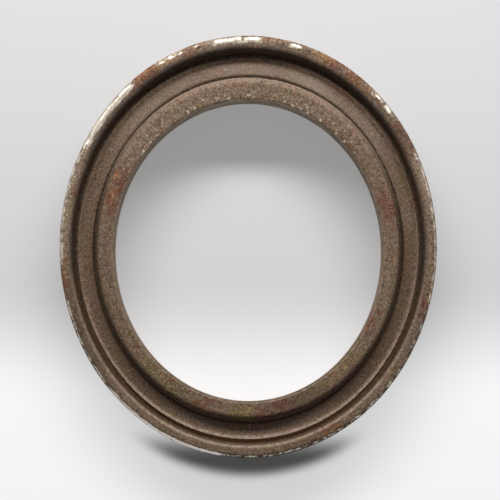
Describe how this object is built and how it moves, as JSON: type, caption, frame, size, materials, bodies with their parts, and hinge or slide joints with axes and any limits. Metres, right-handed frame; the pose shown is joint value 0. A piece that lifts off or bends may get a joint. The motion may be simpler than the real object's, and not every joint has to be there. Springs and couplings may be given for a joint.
{
  "type": "hydraulic oil seal",
  "caption": "Round one-piece metal oil seal ring with a raised hub around its bore, a grooved stepped face and a raised outer rim; rusted and worn.",
  "frame": {"origin": "on the ring's axis, at the flat back that it lies on", "axes": "+Z along the ring's axis, from the flat back to the stepped face"},
  "size_m": [0.0888, 0.0888, 0.0095],
  "materials": {
    "rusted_steel": "brown granular rust with red and ochre patches, worn to bare grey metal along the rim"
  },
  "bodies": {
    "root": {"seal_ring": "rusted_steel"}
  },
  "joints": []
}
